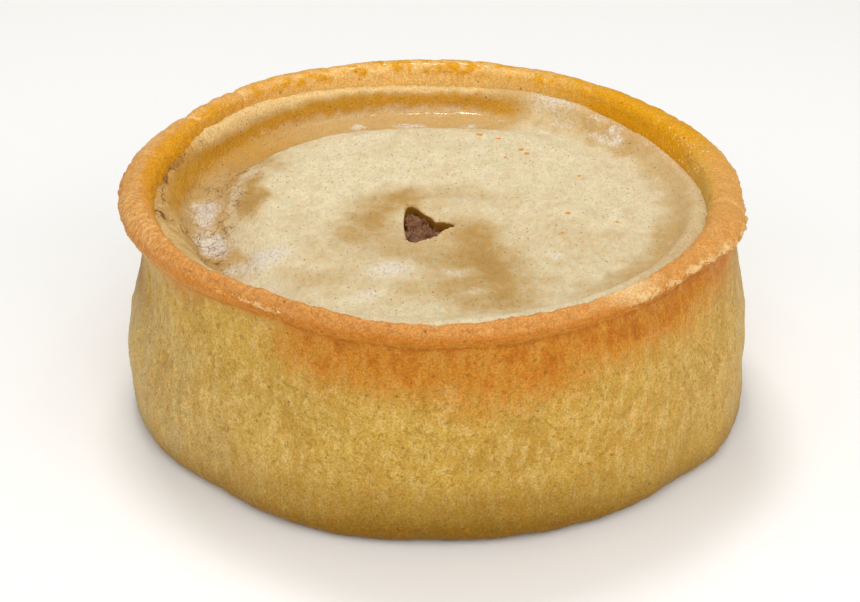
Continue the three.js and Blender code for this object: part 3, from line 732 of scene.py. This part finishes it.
def paintLid(piece):
    points, normals = placesOf(piece), normalsOf(piece)
    radius, side = roundAbout(points)
    height = points[:, 2]
    ragged, swirled = wandered(points, 1.4, 0.9), wandered(points, 3.0, 1.6)
    onTop = ramp(normals[:, 2], -0.2, 0.2)
    breakUp, fine = cloudy(points, 4.0, 4, 2.0), cloudy(points, 1.5, 4, 13.0)
    moist = 0.05 + 0.08 * ramp(points[:, 1], 5, -20) + 0.12 * breakUp
    moist += sum(strength * spot(swirled, *place) for *place, strength in lid["moist"])
    flour = sum(strength * spot(ragged, *place) for *place, strength in lid["flour"])
    # the sunken ring inside the rim: a fat-glazed groove at the back, a torn tan hollow at the left
    leftAndBack = ramp(np.abs(turnFrom(side, 142)), 84, 68)
    atBack, atLeft = ramp(np.abs(turnFrom(side, 110)), 52, 38), around(side, 176, 30)
    ring = ramp(radius + 0.5 * breakUp, 28.8, 30.2) * ramp(height + 0.3 * breakUp, 30.0, 29.0) * leftAndBack
    wall = ramp(radius, 35.2, 36.6) * ramp(height + 0.5 * fine, 28.0, 29.3) * leftAndBack
    tan = np.maximum(ring, ramp(radius, 36.0, 37.5) * leftAndBack) * (1 - 0.35 * atLeft)
    # the pale crest of that wall, brought further down in the corner at the back left as painted light,
    # and painted light on the strip in shade by the rim at the front left
    crest, corner = byDirection(side, lid["crestHeight"]), around(side, 143, 20)
    crestAndPaintedLight = ramp(height + 0.4 * fine, crest - 1.1 - 1.6 * corner, crest - 0.4 - 0.9 * corner)
    crestAndPaintedLight *= ramp(radius, 35.6, 36.8) * ramp(np.abs(turnFrom(side, 116)), 46, 34)
    crestAndPaintedLight += 0.55 * around(side, -156, 16) * ramp(radius, 34.2, 36.2) * ramp(fine, -0.35, 0.15)
    crest = crest - 1.8 * corner
    gold = wall * ramp(height + 0.4 * fine, crest - 0.4, crest - 1.9) * (0.95 * atBack + 0.35 * atLeft)
    gold += 0.55 * around(side, 166, 20) * ramp(radius, 35.5, 37.5)
    gold += 0.45 * around(side, 140, 16) * ring * ramp(radius, 30.5, 32.5)
    moist += (0.12 + 0.15 * atLeft) * ring + 0.15 * wall * atLeft
    moist += 0.3 * atLeft * ramp(radius + 2.0 * breakUp, 31.0, 35.0)
    flour += 0.12 * atLeft * ramp(radius, 31, 34) * ramp(cloudy(points, 2.2, 4, 37.0), -0.1, 0.4)
    shine = atBack * ramp(radius, 36.0, 37.5) * ramp(height, 29.6, 28.8)
    shine *= ramp(cloudy(points, 1.4, 2, 31.0), -0.3, 0.1)
    # moist tan ring at the right and front right, and mottled white at the back right
    right = ramp(np.abs(turnFrom(side, 5)), 75, 40)
    ringRight = right * ramp(radius + 1.5 * breakUp, 32.0, 36.0)
    backRight = around(side, 42, 22)
    moist += 0.3 * ringRight * ramp(radius, 38.5, 37.5)
    tan += 0.55 * ringRight + 0.25 * backRight * ramp(radius, 30, 33)
    flour += 0.3 * backRight * ramp(radius, 26, 30) * ramp(cloudy(points, 2.0, 4, 43.0), -0.1, 0.35)
    flour += 0.2 * right * ramp(radius, 37.2, 38.0)
    # a wide zone round each torn line, where the material draws finer cracks, and the line itself
    crack, torn = 0.3 * around(side, 168, 38) * ring, 0
    for line, width, depth in lid["cracks"]:
        away = offLine(ragged, line)
        crack += 0.65 * np.exp(-(away / 1.3) ** 2)
        torn += 0.25 * np.exp(-(away / width) ** 2)
    crack = np.minimum(crack, 0.65) + torn
    crack += 0.3 * np.exp(-(offLine(ragged, lid["crease"]) / 0.3) ** 2)
    crack += 0.95 * around(side, 172, 20) * ramp(radius + 0.6 * breakUp, 38.4, 39.0)
    # the steam hole's wall: gold on it is a painted highlight along its upper edge, and the hole channel is
    # painted shade lower down
    inHole = ramp(offLine(points, lid["hole"]), 1.4, 0.2) * ramp(normals[:, 2], 0.5, 0.1)
    gold = gold * (1 - np.clip(flour, 0, 1)) + 0.8 * inHole
    moist = moist * onTop * (1 - 0.7 * np.clip(flour, 0, 1))
    paint(piece, "bake", (moist, gold, flour * onTop, crack))
    paint(piece, "tone", (tan * onTop, inHole * ramp(height, 30.6, 29.6), crestAndPaintedLight, shine))


# the meat and the small things

meat = {
    "triangles": 120000,
    "shown": {"x": -1.5, "y": -5.5, "radius": 8, "above": 22},  # the part under the hole
    "swell": 2.0,  # how far it rises into the hole
}


def makeMeat():
    shown = meat["shown"]
    piece = copyNode("filling", "mincedPork")
    applyModifier(piece, "SUBSURF", levels=2, render_levels=2)
    # finer faces under the hole, where the meat shows
    points = placesOf(piece)
    for face in piece.data.polygons:
        middle = points[list(face.vertices)].mean(axis=0)
        away = np.hypot(middle[0] - shown["x"], middle[1] - shown["y"])
        face.select = bool(middle[2] > shown["above"] and away < shown["radius"])
    bpy.ops.object.mode_set(mode="EDIT")
    bpy.ops.mesh.subdivide(number_cuts=3)
    bpy.ops.object.mode_set(mode="OBJECT")
    points, normals = placesOf(piece), normalsOf(piece)
    away = np.hypot(points[:, 0] - shown["x"], points[:, 1] - shown["y"])
    near = np.exp(-(away / 9) ** 2) * ramp(points[:, 2], 20, 24)
    rise = near * (0.6 * cloudy(points, 1.3, 3) + 0.35 * cloudy(points, 0.5, 3, 3.0))
    # and it swells up into the hole, most at the left
    swell = within(points, lid["hole"]) * ramp(offLine(points, lid["hole"]), 0.0, 0.5)
    swell = swell * (points[:, 2] > shown["above"])
    lumps = 0.5 * cloudy(points, 0.9, 3, 5.0)
    rise += swell * (meat["swell"] - 0.2 * np.clip(points[:, 0] + 3, 0, 4) + lumps)
    movePlaces(piece, points + normals * rise[:, None])
    thinTo(piece, meat["triangles"])
    return piece


# how many, smallest and largest size in mm, height against width, seed of the random draws
crumbs = {
    "lipCrumbs": (260, 0.06, 0.2, 0.45, 31),
    "insideCrumbs": (60, 0.09, 0.26, 0.5, 41),
    "holeFlakes": (30, 0.08, 0.26, 0.35, 51),
}


def makeCrumbs(name, places, facing, sizes, flat, seed):
    # one crumb is modelled, and each copy is dented, turned and squashed in its own way
    bpy.ops.object.select_all(action="DESELECT")
    bpy.ops.mesh.primitive_ico_sphere_add(subdivisions=2, radius=mm)
    crumb = bpy.context.object
    addRelief(crumb, ((0.9, 0.4),))
    corners = placesOf(crumb)
    rng = np.random.default_rng(seed)
    copies = []
    for place, up, size in zip(places, facing, sizes):
        copy = bpy.data.objects.new(name, crumb.data.copy())
        bpy.context.scene.collection.objects.link(copy)
        movePlaces(copy, corners * (1 + 0.15 * rng.standard_normal(len(corners)))[:, None])
        lean = Vector((0, 0, 1)).rotation_difference(Vector(up))
        spin = Quaternion((0, 0, 1), rng.uniform(0, 2 * math.pi))
        stretch = Vector((size * rng.uniform(0.8, 1.3), size * rng.uniform(0.6, 1.0), size * flat))
        copy.matrix_world = Matrix.LocRotScale(Vector(place) * mm, lean @ spin, stretch)
        copies.append(copy)
    bpy.data.objects.remove(crumb)
    activate(copies[0])
    for copy in copies:
        copy.select_set(True)
    bpy.ops.object.join()
    bpy.ops.object.transform_apply(location=True, rotation=True, scale=True)
    return bpy.context.object


def scatterOn(base, chosen, name):
    count, low, high, flat, seed = crumbs[name]
    points, normals = placesOf(base), normalsOf(base)
    rng = np.random.default_rng(seed)
    picks = rng.choice(np.flatnonzero(chosen), count, replace=False)
    sizes = low + (high - low) * rng.uniform(size=count) ** 2
    places = points[picks] + normals[picks] * (0.2 * sizes * flat)[:, None]
    return makeCrumbs(name, places, normals[picks], sizes, flat, seed + 1)


drops = {
    "flat": 0.25,
    "seed": 21,
    # x, y, size
    "spots": ((6.7, 22.8, 0.42), (9.8, 21.7, 0.42), (13.1, 17.3, 0.5), (14.1, 15.9, 0.45),
              (10.5, 14.3, 0.34), (21.5, 8.0, 0.32), (19.2, -4.1, 0.46), (17.7, -10.3, 0.32),
              (26.1, -7.6, 0.32)),
}


def makeDrops(base):
    points, normals = placesOf(base), normalsOf(base)
    # each drop sits on the nearest point that faces up
    tooSteep = 50 * (normals[:, 2] < 0.5)
    nearest = [np.argmin(np.hypot(points[:, 0] - x, points[:, 1] - y) + tooSteep)
               for x, y, size in drops["spots"]]
    sizes = [size for x, y, size in drops["spots"]]
    return makeCrumbs("fatDrops", points[nearest], normals[nearest], sizes, drops["flat"], drops["seed"])


setUpView()
print("camera, floor and lights set")

pastryCup = makeCup()
finishPiece(pastryCup, bakedCrust(), "case")
pastryLid = makeLid()
finishPiece(pastryLid, paleCrust(), "lid")
finishPiece(makeMeat(), cookedMince(), "filling")

rimPoints = placesOf(pastryCup)
rimRadius, rimSide = roundAbout(rimPoints)
rimHeight = rimPoints[:, 2]
onLedge = (rimHeight > 32.8) & (rimHeight < 33.8) & (rimRadius > 43)
onFlash = onLedge & (flashAround(rimSide) > 0.4)
onInside = (rimHeight > 31.5) & (rimRadius < 42) & (np.abs(turnFrom(rimSide, 14)) < 11)
finishPiece(scatterOn(pastryCup, onFlash, "lipCrumbs"), dryCrumbs())
finishPiece(scatterOn(pastryCup, onInside, "insideCrumbs"), dryCrumbs())
lidPoints, lidNormals = placesOf(pastryLid), normalsOf(pastryLid)
byHole = (offLine(lidPoints, lid["hole"]) < 0.9) & (lidNormals[:, 2] > 0.8) & (lidPoints[:, 1] < -8)
finishPiece(scatterOn(pastryLid, byHole, "holeFlakes"), dryCrumbs())
finishPiece(makeDrops(pastryLid), orangeFat())
